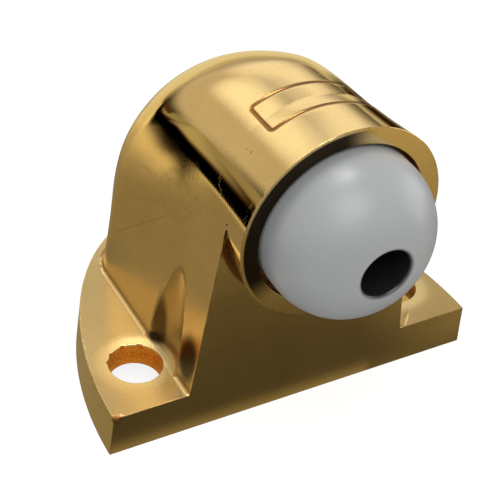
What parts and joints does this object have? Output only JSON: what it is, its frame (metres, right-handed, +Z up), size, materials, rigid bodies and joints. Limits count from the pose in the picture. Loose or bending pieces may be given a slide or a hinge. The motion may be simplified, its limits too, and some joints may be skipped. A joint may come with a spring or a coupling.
{
  "type": "elbow door stop",
  "caption": "Floor-mounted elbow door stop: cast brass body on a half-oval foot, with a grey rubber bumper.",
  "frame": {"origin": "on the floor, under the middle of the whole part", "axes": "+Z up from the floor, +X along the straight front edge of the foot, the bumper faces -Y"},
  "size_m": [0.0508, 0.0494, 0.0435],
  "materials": {
    "polished_brass": "polished",
    "grey_rubber": "matte",
    "plated_screw": "satin"
  },
  "bodies": {
    "root": {"stop_body": "polished_brass", "rubber_bumper": "grey_rubber", "bumper_screw": "plated_screw"}
  },
  "joints": []
}
